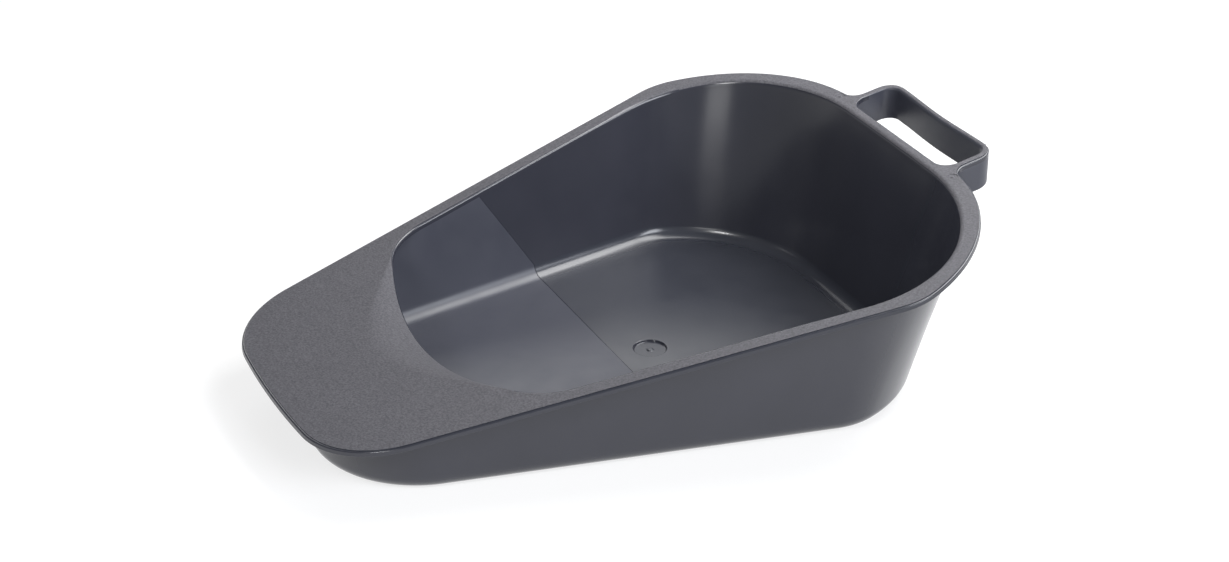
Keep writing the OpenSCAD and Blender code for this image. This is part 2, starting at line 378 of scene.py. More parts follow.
def inside(loops, xy):
    """Which of the points lie inside the area bounded by the loops, by counting crossings."""
    count = np.zeros(len(xy), int)
    for loop in loops:
        a = np.array(loop)[:, :2]
        b = np.roll(a, -1, axis=0)
        for (ax, ay), (bx, by) in zip(a, b):
            if ay == by:
                continue
            spans = (ay > xy[:, 1]) != (by > xy[:, 1])
            x = ax + (xy[:, 1] - ay) * (bx - ax) / (by - ay)
            count += spans & (xy[:, 0] < x)
    return count % 2 == 1


def triangles(loops, lines=(), extra=()):
    """Triangles over the area inside closed loops of 3-D points, as seen from above. lines are
    further chains of points that edges follow, and extra are loose points."""
    index, points, edges, boundary = {}, [], [], set()

    def add(point):
        key = (round(float(point[0]), 3), round(float(point[1]), 3))
        if key not in index:
            index[key] = len(points)
            points.append(point)
        return index[key]

    for chain, closed in [(c, True) for c in loops] + [(c, False) for c in lines]:
        ids = [add(p) for p in chain]
        pairs = list(zip(ids, ids[1:])) + ([(ids[-1], ids[0])] if closed else [])
        pairs = [(a, b) for a, b in pairs if a != b]
        edges += pairs
        if closed:
            boundary.update(frozenset(pair) for pair in pairs)
    for point in extra:
        add(point)
    flat = [Vector((float(p[0]), float(p[1]))) for p in points]
    _, _, faces, origins, _, _ = delaunay_2d_cdt(flat, edges, [], 0, TINY, True)
    faces = [[origins[v][0] for v in f] for f in faces if all(origins[v] for v in f)]
    sides = [[frozenset((f[i - 1], f[i])) for i in range(len(f))] for f in faces]
    across = {}
    for i, edges_of_face in enumerate(sides):
        for edge in edges_of_face:
            across.setdefault(edge, []).append(i)

    # Spread from the largest face inside, and stop at the boundary
    areas = np.array([abs((flat[b] - flat[a]).cross(flat[c] - flat[a])) for a, b, c in faces])
    middles = np.array([np.mean([points[v][:2] for v in f], axis=0) for f in faces])
    reached = [int(np.argmax(np.where(inside(loops, middles), areas, 0)))]
    kept = set(reached)
    while reached:
        for edge in sides[reached.pop()]:
            if edge not in boundary:
                fresh = [i for i in across[edge] if i not in kept]
                kept.update(fresh)
                reached += fresh
    return [[points[v] for v in faces[i]] for i in sorted(kept)]


# --- floor, bend and walls ---

BEND_STEPS = 10
WALL_STEPS = 12
WALL_FILLET_STEPS = 5
# The core line's groove in the wall fades out over this share of the wall's height, below the rim
GROOVE_FADE = 0.03
# The walls' inward warp, where the wall is this high. It grows with the height to the fourth.
WALL_BOW = 0.6
WALL_BOW_H = 75.0


class Section:
    """The pan's wall at one station: points of the inner and outer faces, from floor to rim."""

    def __init__(self, i):
        self.base, self.out = base_points[i], base_normals[i]
        top_outer = plan_point(outer_points[i], rim_z(outer_points[i][1]) - RIM_T)
        top_inner = plan_point(inner_points[i], rim_z(inner_points[i][1]) - RIM_T)
        reach = float(np.dot(outer_points[i] - self.base, self.out))
        self.lean = math.atan(reach / top_outer[2])
        turn = math.pi / 2 - self.lean
        self.back = (BEND_R + WALL_T) * math.tan(turn / 2)
        grooved = i in (CORE_STATION, STATIONS - CORE_STATION)
        depth = GROOVE_DEPTH if grooved else 0.0
        angles = [turn * k / BEND_STEPS for k in range(BEND_STEPS + 1)]
        self.inner_bend = [self.bend_point(BEND_R + depth, a) for a in angles]
        self.outer_bend = [self.bend_point(BEND_R + WALL_T, a) for a in angles]
        into_wall = plan_point(self.out * math.sin(turn), -math.cos(turn)) * depth
        inner_foot, outer_foot = self.inner_bend[-1], self.outer_bend[-1]
        near_top = top_inner + (inner_foot - top_inner) * GROOVE_FADE
        self.inner_wall = [inner_foot] + self.bowed(inner_foot, near_top + into_wall) + [top_inner]
        outwards = plan_point(outer_normals[i], outer_normals[i][1] * TAN_SLOPE)
        flare = fillet(outer_foot, top_outer, top_outer + outwards, WALL_FILLET_R, WALL_FILLET_STEPS)
        self.outer_wall = [outer_foot] + self.bowed(outer_foot, flare[0]) + flare[1:]

    def bowed(self, foot, top):
        """Points up the wall, which has warped inwards a little between its foot and its top."""
        bow = WALL_BOW * ((top[2] - foot[2]) / WALL_BOW_H) ** 4
        points = []
        for k in range(1, WALL_STEPS + 1):
            t = k / WALL_STEPS
            point = foot + (top - foot) * k / WALL_STEPS
            point[:2] -= self.out * bow * 4 * t * (1 - t)
            points.append(point)
        return points

    def bend_point(self, r, angle):
        out = r * math.sin(angle) - self.back
        return plan_point(self.base + self.out * out, BEND_R + WALL_T - r * math.cos(angle))


sections = [Section(i) for i in range(STATIONS)]
front_stations = [i % STATIONS for i in range(-CORE_STATION, CORE_STATION + 1)]
rear_stations = list(range(CORE_STATION, STATIONS - CORE_STATION + 1))


def shell_piece(name, finish, rows):
    """A length of the bend or the wall, closed where it meets the other pieces. Each row holds the
    points of the inner face and of the outer face at one station."""
    piece = Piece(name)
    piece.loft([row[0] for row in rows[:2]], "core_line")
    piece.loft([row[0] for row in rows[1:-1]], finish)
    piece.loft([row[0] for row in rows[-2:]], "core_line")
    piece.loft([row[1] for row in rows], "polished")
    for end in (0, -1):
        piece.quads([row[0][end] for row in rows], [row[1][end] for row in rows], "hidden")
    for row in (rows[0], rows[-1]):
        piece.face(row[0] + row[1][::-1], "hidden")


def build_shell():
    for name, stations, bend_finish, wall_finish in (
        ("front", front_stations, "satin", "satin"),
        ("rear", rear_stations, "gloss", "polished"),
    ):
        along = [sections[i] for i in stations]
        shell_piece("base_bend_" + name, bend_finish, [(s.inner_bend, s.outer_bend) for s in along])
        shell_piece("wall_" + name, wall_finish, [(s.inner_wall, s.outer_wall) for s in along])


RECESS_LEAN = 0.35
RECESS_TOP_R = 0.35
RECESS_FOOT_R = 0.45
RECESS_STEPS = 4
RECESS_POINTS = 72
RECESS_Z = WALL_T - GATE_DEPTH
VESTIGE_POINTS = 32
# Heights of the torn top's two broad waves and five ripples
TEAR_WAVE = 0.06
TEAR_RIPPLE = 0.04


def gate_recess_profile():
    """Radius and height from the floor down the recess's rounded wall to its flat."""
    wall_top = np.array([GATE_D / 2, WALL_T])
    wall_foot = np.array([GATE_D / 2 - RECESS_LEAN, RECESS_Z])
    outwards = np.array([1.0, 0.0])
    return fillet(wall_top + outwards, wall_top, wall_foot, RECESS_TOP_R, RECESS_STEPS) + fillet(
        wall_top, wall_foot, wall_foot - outwards, RECESS_FOOT_R, RECESS_STEPS
    )


def build_floor():
    piece = Piece("floor_panel")
    top_ring = [s.inner_bend[0] for s in sections]
    bottom_ring = [s.outer_bend[0] for s in sections]
    recess = [circle(0, GATE_Y, r, z, RECESS_POINTS) for r, z in gate_recess_profile()]
    core_lines = [
        [sections[CORE_STATION + k].inner_bend[0], sections[STATIONS - CORE_STATION - k].inner_bend[0]]
        for k in (-1, 0, 1)
    ]
    for face in triangles([top_ring, recess[0]], core_lines):
        past = sum(np.mean([p[1] for p in face]) > line[0][1] for line in core_lines)
        piece.face(face, ("satin", "core_line", "core_line", "floor")[past], FLAT_WEIGHT)
    piece.loft([ring + ring[:1] for ring in recess], "polished")
    piece.face(recess[-1], "floor")
    for face in triangles([bottom_ring]):
        piece.face(face, "polished", FLAT_WEIGHT)
    piece.quads(top_ring + top_ring[:1], bottom_ring + bottom_ring[:1], "hidden")


def build_vestige():
    """The stub where the sprue broke off: a flared foot, and a torn top that rises and falls."""
    piece = Piece("gate_vestige")
    r = VESTIGE_D / 2
    foot = [(r + 0.5, 0.0), (r + 0.2, 0.05), (r + 0.04, 0.2)]
    torn = [(r, 0.35), (0.86 * r, 0.52), (0.55 * r, 0.5)]
    rings = [circle(0, GATE_Y, radius, RECESS_Z + z, VESTIGE_POINTS) for radius, z in foot + torn]
    for step, ring in enumerate(rings[len(foot) :], len(foot)):
        for k, p in enumerate(ring):
            turn = 2 * math.pi * k / VESTIGE_POINTS
            p[2] += TEAR_WAVE * math.sin(2 * turn + step) + TEAR_RIPPLE * math.sin(5 * turn)
    piece.loft([ring + ring[:1] for ring in rings], "floor")
    piece.face(rings[-1], "floor")
    piece.face(rings[0], "hidden")


# --- rim, guard plate and its lip ---

# The rim's side is cut where the guard plate ends
N_PLATE_SIDE, N_RIM_SIDE, N_RIM_BACK = 12, 40, 24
RIM_COUNTS = [N_FRONT, N_CORNER, [N_PLATE_SIDE, N_RIM_SIDE], N_BACK_CORNER, N_RIM_BACK]
OPENING_COUNTS = [N_FRONT, N_CORNER, [N_TO_CORE, 1, 1, N_REAR_SIDE], N_BACK_CORNER, N_BACK]
OPENING_JOIN = N_FRONT + N_CORNER
# The lip ends part of the way round the opening's front corner
LIP_STATION = N_FRONT + N_CORNER // 4

opening_half, opening_half_normals = OPENING.sample(OPENING_COUNTS, TOP_MARKS[1:], COS_SLOPE)
opening_points, opening_normals = whole(opening_half), whole(opening_half_normals)
OPENING_STATIONS = len(opening_points)
lip_end = opening_half[LIP_STATION]

# The crease is a hyperbola with this radius in the middle, and ends this far from the lip's edge
CREASE_R = 40.0
CREASE_END_GAP = 0.4
# The power of the dip's growth from the crease to the edge
LIP_CURL = 1.8


def crease_y(x):
    """Where the plate starts to dip, at a distance x from the middle line."""
    x = min(abs(x), lip_end[0])

    def rise(u):
        return math.hypot(u, CREASE_R) - CREASE_R

    start = CREASE_FRONT * COS_SLOPE
    return start + (lip_end[1] - CREASE_END_GAP - start) * rise(x) / rise(lip_end[0])


def dip(x, y):
    """How far the guard plate lies below the rim plane."""
    if abs(x) >= lip_end[0]:
        return 0.0
    lip_edge = opening_half[: LIP_STATION + 1]
    edge = np.interp(abs(x), lip_edge[:, 0], lip_edge[:, 1])
    crease = crease_y(x)
    along = min(max((y - crease) / (edge - crease), 0.0), 1.0)
    return LIP_DROP * (1 - (x / lip_end[0]) ** 2) * along**LIP_CURL


def on_plate(xy, depth=0.0):
    return plan_point(xy, rim_z(xy[1]) - dip(xy[0], xy[1]) - depth)


MOUTH_STEPS = 7
LIP_BOTTOM_STEPS = 4
# Where the mouth's edge starts to widen, and over what length it widens
MOUTH_WIDENS = 190.0
MOUTH_WIDENING_L = 90.0


def smooth_step(t):
    t = min(max(t, 0.0), 1.0)
    return t * t * (3 - 2 * t)


def mouth_back_share(y):
    """How far the rim's inner edge has widened into the back's broad, matt rounding."""
    return smooth_step((y - MOUTH_WIDENS) / MOUTH_WIDENING_L)


def mouth_row(i):
    """The rim's inner edge at a station of the opening: round along the walls, and round above and
    below where the lip's edge is free. It runs from the top face down to the underside."""
    p, out = opening_points[i], opening_normals[i]
    station = min(i, OPENING_STATIONS - i)
    shell_i = JOIN_STATION + max(station - OPENING_JOIN, 0)
    lean = sections[shell_i].lean
    foot = plan_point(p, rim_z(p[1]) - RIM_T)
    rise = RIM_T / (1 - math.tan(lean) * out[1] * TAN_SLOPE)
    corner = foot + plan_point(out * math.tan(lean), 1) * rise
    outwards = plan_point(out, out[1] * TAN_SLOPE)
    r = MOUTH_R + (MOUTH_BACK_R - MOUTH_R) * mouth_back_share(p[1])
    along_wall = fillet(corner + outwards, corner, foot, r, MOUTH_STEPS)
    walled = along_wall + [
        foot + outwards * LIP_BOTTOM_R * k / LIP_BOTTOM_STEPS for k in range(LIP_BOTTOM_STEPS + 1)
    ]
    if station >= OPENING_JOIN:
        return walled
    top, under = on_plate(p), on_plate(p, RIM_T)
    inner = p + out * 2 * LIP_TOP_R
    free = fillet(on_plate(inner), top, under, LIP_TOP_R, MOUTH_STEPS) + fillet(
        top, under, on_plate(inner, RIM_T), LIP_BOTTOM_R, LIP_BOTTOM_STEPS
    )
    weight = smooth_step((station - LIP_STATION) / (OPENING_JOIN - LIP_STATION))
    return [f + (w - f) * weight for f, w in zip(free, walled)]


ROOT_OUTER_R = 7.0
ROOT_INNER_R = 8.0
ROOT_STEPS = 12
# The rim runs into each arm for this far behind the hole's front
RIM_INTO_ARM = 10.0
SPLIT_Y = HOLE_FRONT + RIM_INTO_ARM
EDGE_STEPS = 5
LEDGE_W = 0.45
LEDGE_STEP = 0.35
LEDGE_EDGE_R = 0.6
# Depths below the rim's top where the flash line starts, stands out and ends
FLASH_START, FLASH_TOP, FLASH_BOTTOM = 1.9, 2.05, 2.35


def edge_arc(r, ledge=0.0):
    """Inset and depth down a rounded edge, from the top face to the side. ledge is the width of a
    strip beside the top face and a step below it, where the mould's halves met."""
    step = LEDGE_STEP if ledge else 0.0
    turns = [math.pi / 2 * k / EDGE_STEPS for k in range(EDGE_STEPS + 1)]
    return [(r + ledge, 0.0), (r + ledge, step)] + [
        (r * (1 - math.sin(a)), step + r * (1 - math.cos(a))) for a in turns
    ]


def edge_row(p, out, flash, arc):
    """The rim's edge at one place, from the top face down to the underside."""
    row = []
    side = [(0, FLASH_START), (-flash, FLASH_TOP), (-flash, FLASH_BOTTOM), (0, RIM_T)]
    for inset, depth in arc + side:
        xy = p - out * inset
        row.append(plan_point(xy, rim_z(xy[1]) - depth))
    return row


def right_edge_rows():
    """Rows of the rim's right edge, from the toe's middle to the right arm."""
    points, normals = RIM.sample(RIM_COUNTS, [lip_end[1] / COS_SLOPE], COS_SLOPE)
    centres = points + normals * ROOT_OUTER_R
    root_x = LOOP_HALF + ROOT_OUTER_R
    past = next(i for i in range(len(points) // 2, len(points)) if centres[i][0] < root_x)
    before, after = centres[past - 1], centres[past]
    t = (before[0] - root_x) / (before[0] - after[0])
    touch = points[past - 1] + (points[past] - points[past - 1]) * t
    centre = before + (after - before) * t
    arc = edge_arc(LEDGE_EDGE_R, LEDGE_W)
    rows = [edge_row(p, n, FLASH, arc) for p, n in zip(points[:past], normals[:past])]
    first = math.atan2(touch[1] - centre[1], touch[0] - centre[0])
    for k in range(ROOT_STEPS + 1):
        angle = first + (-math.pi - first) * k / ROOT_STEPS
        out = -np.array([math.cos(angle), math.sin(angle)])
        rows.append(edge_row(centre - out * ROOT_OUTER_R, out, FLASH * (1 - k / ROOT_STEPS), arc))
    rows.append(edge_row(np.array([LOOP_HALF, SPLIT_Y]), np.array([1.0, 0.0]), 0.0, arc))
    return rows


def right_hole_rows():
    """Rows of the finger hole's front edge, from the right arm to the middle."""
    centre = np.array([HOLE_HALF - ROOT_INNER_R, HOLE_FRONT + ROOT_INNER_R])
    arc = edge_arc(EDGE_R)
    rows = [edge_row(np.array([HOLE_HALF, SPLIT_Y]), np.array([-1.0, 0.0]), 0.0, arc)]
    for k in range(ROOT_STEPS + 1):
        angle = -math.pi / 2 * k / ROOT_STEPS
        out = -np.array([math.cos(angle), math.sin(angle)])
        rows.append(edge_row(centre - out * ROOT_INNER_R, out, 0.0, arc))
    rows.append(edge_row(np.array([0.0, HOLE_FRONT]), np.array([0.0, 1.0]), 0.0, arc))
    return rows


def mirrored(rows):
    """The same rows on the left side, in the opposite order."""
    return [[p * [-1, 1, 1] for p in row] for row in reversed(rows)]


right_edge = right_edge_rows()
EDGE_MIDDLE = len(right_edge) - 1
PLATE_END = N_FRONT + N_CORNER + N_PLATE_SIDE
# Where the guard plate ends on the left and on the right, as indices in edge_rows
SEAMS = (EDGE_MIDDLE - PLATE_END, EDGE_MIDDLE + PLATE_END)

# Rows of the rim's whole edge, the finger hole's front edge, the opening's edge and the lip's edge
edge_rows = mirrored(right_edge)[:-1] + right_edge
hole_rows = right_hole_rows() + mirrored(right_hole_rows())[1:]
mouth_rows = [mouth_row(i) for i in range(OPENING_STATIONS)]
lip_rows = mouth_rows[-LIP_STATION:] + mouth_rows[: LIP_STATION + 1]

PIN_PLACES = [(-51.0, 316.0), (51.0, 316.0)]
PIN_POINTS = 40
# Radius and depth round an ejector pin's mark: its edge, its sunk flat and the nub in its middle
PIN_RINGS = [
    (PIN_R, 0.0),
    (PIN_R - PIN_STEP, PIN_DEPTH),
    (PIN_NUB_FOOT_R, PIN_DEPTH),
    (PIN_NUB_TOP_R, 0.0),
]
# Rows of faces between the plate's crease and the lip's free edge
LIP_ROWS = 8


def outer_edges(rim, plate):
    """The rim's rounded outer edges, with the ledge where the mould's halves met."""
    for owner, rows in (
        (plate, edge_rows[SEAMS[0] : SEAMS[1] + 1]),
        (rim, edge_rows[: SEAMS[0] + 1]),
        (rim, edge_rows[SEAMS[1] :]),
        (rim, hole_rows),
    ):
        owner.loft([row[:3] for row in rows], "ledge")
        owner.loft([row[2:] for row in rows], "polished")


def mouth_edges(rim, lip):
    """The opening's rounded edge, free along the lip and standing on the walls from there."""
    lip.loft([row[: MOUTH_STEPS + 2] for row in lip_rows], "polished")
    lip.loft([row[MOUTH_STEPS + 1 :] for row in lip_rows], "under")
    rim_rows = mouth_rows[LIP_STATION : OPENING_STATIONS - LIP_STATION + 1]
    for row_a, row_b in zip(rim_rows, rim_rows[1:]):
        matt = round((MOUTH_STEPS - 2) * mouth_back_share(row_a[0][1]))
        rim.quads(row_a[: matt + 1], row_b[: matt + 1], "textured")
        rim.quads(row_a[matt : MOUTH_STEPS + 2], row_b[matt : MOUTH_STEPS + 2], "polished")
        rim.quads(row_a[MOUTH_STEPS + 1 :], row_b[MOUTH_STEPS + 1 :], "under")


def lip_grid():
    """Places in plan along the plate's crease, and between the crease and the lip's free edge."""
    crease, grid = [], []
    for row in lip_rows:
        edge = row[0][:2]
        start = np.array([edge[0], min(crease_y(edge[0]), edge[1] - CREASE_END_GAP)])
        crease.append(start)
        grid += [start + (edge - start) * k / LIP_ROWS for k in range(1, LIP_ROWS)]
    return crease, grid


def pin_rings():
    """Closed rings of points in the rim's top round each ejector pin's mark."""
    rings = []
    for x, y in PIN_PLACES:
        for r, depth in PIN_RINGS:
            ring = [plan_point(p, rim_z(p[1]) - depth) for p in circle(x, y, r, 0, PIN_POINTS)]
            rings.append(ring + ring[:1])
    return rings


def on_pin(x, y):
    return any(math.hypot(x - pin_x, y - pin_y) < PIN_R for pin_x, pin_y in PIN_PLACES)


def level_faces(rim, plate, lip, on_top):
    """The top face or the underside of all three pieces. Returns the crease between plate and lip."""
    depth, group, end = (0.0, "textured", 0) if on_top else (RIM_T, "under", -1)
    left, right = lip_rows[0][end], lip_rows[-1][end]
    crease, grid = lip_grid()
    crease = [left] + [on_plate(xy, depth) for xy in crease[1:-1]] + [right]
    seams = [[right, edge_rows[SEAMS[1]][end]], [left, edge_rows[SEAMS[0]][end]]]
    outlines = [[row[end] for row in rows] for rows in (edge_rows + hole_rows, mouth_rows)]
    pins = pin_rings() if on_top else []
    faces = triangles(outlines, [crease] + seams + pins, [on_plate(xy, depth) for xy in grid])
    crease_xy, seam_xy = np.array(crease), np.array(seams[0])
    for face in faces:
        x, y = np.mean([p[:2] for p in face], axis=0)
        if y > np.interp(abs(x), seam_xy[:, 0], seam_xy[:, 1]):
            owner = rim
        elif abs(x) < right[0] and y > np.interp(x, crease_xy[:, 0], crease_xy[:, 1]):
            owner = lip
        else:
            owner = plate
        owner.face(face, "pin_mark" if on_top and on_pin(x, y) else group, FLAT_WEIGHT)
    return crease


def build_rim():
    rim, plate, lip = Piece("rim_flange"), Piece("guard_plate"), Piece("guard_lip")
    outer_edges(rim, plate)
    mouth_edges(rim, lip)
    top_crease = level_faces(rim, plate, lip, True)
    under_crease = level_faces(rim, plate, lip, False)
    for owner in (plate, lip):
        owner.quads(top_crease, under_crease, "hidden")
    for row, seam in ((lip_rows[0], SEAMS[0]), (lip_rows[-1], SEAMS[1])):
        across = edge_rows[seam][::-1]
        lip.face(row, "hidden")
        rim.face(row + across, "hidden")
        plate.face([row[0], row[-1]] + across, "hidden")
    rim.face(edge_rows[-1] + hole_rows[0][::-1], "hidden")
    rim.face(edge_rows[0] + hole_rows[-1][::-1], "hidden")


# --- handle ---

LOOP_CORNER = 9.0
BAR_BOW = 1.0
BAR_FRONT = LOOP_BACK - LOOP_CORNER
BAR_INNER_R = 1.7
BAR_OUTER_R = 0.7
CORNER_STEPS = 16
BAR_STEPS = 24
ROOT_FLARE = 1.4
# Distances from the back wall of the sections at an arm's root, the first one hidden in the wall
ROOT_DISTANCES = (-1.0, 0.0, 0.1, 0.25, 0.5, 0.9, ROOT_FLARE)
# Inset of the arm's top where it runs hidden under the rim, and how much less each next point has
HIDDEN_INSET = 0.9
HIDDEN_INSET_STEP = 0.1
# The strap's inner side, with part of its rounding, ends at this point of its section
INNER_SIDE_END = 4


def wall_y(x, depth):
    """Where the back wall's outside is, but for its bow, at a distance x from the middle line and a
    depth below the rim's top."""
    back = sections[STATIONS // 2 - N_BACK - N_BACK_CORNER // 2 : STATIONS // 2 + 1]
    xs, ys = [], []
    for s in back:
        foot, top = s.outer_bend[-1], s.outer_wall[WALL_STEPS]
        along = top - foot
        t = (rim_z(foot[1]) - depth - foot[2]) / (along[2] - along[1] * TAN_SLOPE)
        p = foot + along * t
        xs.append(p[0])
        ys.append(p[1])
    order = np.argsort(xs)
    return float(np.interp(abs(x), np.array(xs)[order], np.array(ys)[order]))


ARM_ARCS = (edge_arc(EDGE_R), edge_arc(LEDGE_EDGE_R, LEDGE_W))
STRAP_TOP_END = 2 * len(ARM_ARCS[0]) + 1


def strap_profile(arcs, flare=0.0):
    """The strap's section as (side, inset, depth), round from the inner side's upper part. side is
    0 on the hole's side and 1 on the outside. A section without arcs stops under the rim."""
    level = [(HIDDEN_INSET - HIDDEN_INSET_STEP * k, RIM_T) for k in range(len(ARM_ARCS[0]))]
    inner_top, outer_top = arcs or (level, level)
    bottom = [(inset - flare, STRAP_H + flare - depth) for inset, depth in edge_arc(EDGE_R)]
    ring = [(0, -flare, RIM_T)] + [(0, *pair) for pair in reversed(inner_top)]
    ring += [(1, *pair) for pair in outer_top] + [(1, -flare, RIM_T)]
    ring += [(1, *pair) for pair in reversed(bottom)] + [(0, *pair) for pair in bottom]
    return ring


def strap_row(inner, outer, arcs):
    across = (outer - inner) / np.linalg.norm(outer - inner)
    row = []
    for side, inset, depth in strap_profile(arcs):
        xy = outer - across * inset if side else inner + across * inset
        row.append(plan_point(xy, rim_z(xy[1]) - depth))
    return row


def root_row(distance):
    """A section of the right arm at a distance from the back wall, flared where it meets the wall."""
    from_wall = min(max(distance, 0.0), ROOT_FLARE)
    flare = ROOT_FLARE - math.sqrt(ROOT_FLARE**2 - (ROOT_FLARE - from_wall) ** 2)
    row = []
    for side, inset, depth in strap_profile(None, flare):
        x = LOOP_HALF - inset if side else HOLE_HALF + inset
        y = wall_y(x, depth) + distance
        row.append(np.array([x, y, rim_z(y) - depth]))
    return row


def bar_back(x):
    """The bar's back edge bows in towards the middle."""
    half = LOOP_HALF - LOOP_CORNER
    return LOOP_BACK - BAR_BOW * (0.5 + 0.5 * math.cos(math.pi * min(abs(x) / half, 1.0)))


def bar_half():
    """Sections from the arm's end round the loop's right corner to the middle of the bar. The
    edges change over the corner from the arm's roundings to the bar's."""
    inner_r = LOOP_CORNER - BAR_T
    inner_centre = np.array([HOLE_HALF - inner_r, BAR_FRONT])
    outer_centre = np.array([LOOP_HALF - LOOP_CORNER, BAR_FRONT])
    rows = []
    for k in range(CORNER_STEPS + 1):
        part = k / CORNER_STEPS
        angle = math.pi / 2 * part
        ray = np.array([math.cos(angle), math.sin(angle)])
        arcs = (
            edge_arc(EDGE_R + (BAR_INNER_R - EDGE_R) * part),
            edge_arc(LEDGE_EDGE_R + (BAR_OUTER_R - LEDGE_EDGE_R) * part, LEDGE_W * (1 - part)),
        )
        rows.append(strap_row(inner_centre + ray * inner_r, outer_centre + ray * LOOP_CORNER, arcs))
    bar_arcs = (edge_arc(BAR_INNER_R), edge_arc(BAR_OUTER_R))
    for k in range(1, BAR_STEPS + 1):
        left = 1 - k / BAR_STEPS
        outer = np.array([outer_centre[0] * left, bar_back(outer_centre[0] * left)])
        inner = np.array([inner_centre[0] * left, outer[1] - BAR_T])
        rows.append(strap_row(inner, outer, bar_arcs))
    return rows


def strap_bands():
    """Parts of a section round the top, from the inner side's foot: first and last point, group."""
    middle = STRAP_TOP_END // 2
    return (
        (0, INNER_SIDE_END, "satin"),
        (INNER_SIDE_END, middle + 1, "textured"),
        (middle + 1, middle + 3, "ledge"),
        (middle + 3, STRAP_TOP_END, "polished"),
    )


def build_handle():
    bar = bar_half()
    inner, outer = np.array([HOLE_HALF, SPLIT_Y]), np.array([LOOP_HALF, SPLIT_Y])
    arm = [root_row(distance) for distance in ROOT_DISTANCES]
    arm += [strap_row(inner, outer, None), strap_row(inner, outer, ARM_ARCS), bar[0]]
    for name, rows in (
        ("handle_arm_right", arm),
        ("handle_arm_left", mirrored(arm)),
        ("handle_bar", bar + mirrored(bar)[1:]),
    ):
        piece = Piece(name)
        for row_a, row_b in zip(rows, rows[1:]):
            under_rim = name != "handle_bar" and max(p[1] for p in row_a + row_b) < SPLIT_Y + TINY
            for start, end, group in strap_bands():
                finish = "hidden" if under_rim else group
                piece.quads(row_a[start : end + 1], row_b[start : end + 1], finish)
            piece.quads(row_a[STRAP_TOP_END:] + row_a[:1], row_b[STRAP_TOP_END:] + row_b[:1], "satin")
        piece.face(rows[0], "hidden")
        piece.face(rows[-1], "hidden")


# --- meshes ---

# Each group of faces: the group whose faces it shades smoothly with, and its material's index
GROUPS = {
    "textured": ("open", 0),
    "polished": ("open", 1),
    "satin": ("open", 2),
    "floor": ("open", 3),
    "gloss": ("open", 4),
    "ledge": (None, 4),
    "under": ("under", 1),
    "core_line": (None, 1),
    "pin_mark": (None, 0),
    "hidden": (None, 0),
}
GROUP_NAMES = list(GROUPS)


def raw_mesh(piece):
    """The piece's closed mesh, with every face turned outwards and numbered by its group."""
    mesh = bpy.data.meshes.new(piece.name)
    mesh.from_pydata(piece.points, [], piece.faces)
    bm = bmesh.new()
    bm.from_mesh(mesh)
    layer = bm.faces.layers.int.new("group")
    for face, group in zip(bm.faces, piece.groups):
        face[layer] = GROUP_NAMES.index(group)
    bmesh.ops.recalc_face_normals(bm, faces=bm.faces)
    bm.to_mesh(mesh)
    bm.free()
    return mesh


def build_meshes():
    """Makes an object of every piece. Normals are averaged by area over all the pieces together."""
    meshes = {name: raw_mesh(piece) for name, piece in Piece.every.items()}
    sums = {}
    for name, mesh in meshes.items():
        points, weights = Piece.every[name].points, Piece.every[name].weights
        groups = mesh.attributes["group"].data
        for polygon in mesh.polygons:
            smooth_with = GROUPS[GROUP_NAMES[groups[polygon.index].value]][0]
            if smooth_with:
                normal = polygon.normal * polygon.area * weights[polygon.index]
                for v in polygon.vertices:
                    key = (points[v], smooth_with)
                    sums[key] = sums.get(key, Vector((0, 0, 0))) + normal
    objects = {}
    for name, mesh in meshes.items():
        points = Piece.every[name].points
        groups = mesh.attributes["group"].data
        normals = []
        for polygon in mesh.polygons:
            smooth_with, material = GROUPS[GROUP_NAMES[groups[polygon.index].value]]
            polygon.material_index = material
            for v in polygon.vertices:
                normal = sums[(points[v], smooth_with)] if smooth_with else polygon.normal
                normals.append(normal.normalized())
        mesh.shade_smooth()
        mesh.transform(Matrix.Translation((0, TOE_Y, 0)) @ Matrix.Scale(MM, 4))
        mesh.normals_split_custom_set(normals)
        mesh.attributes.remove(mesh.attributes["group"])
        obj = bpy.data.objects.new("moulded_" + name, mesh)
        bpy.context.scene.collection.objects.link(obj)
        objects[name] = obj
    return objects


# --- materials ---


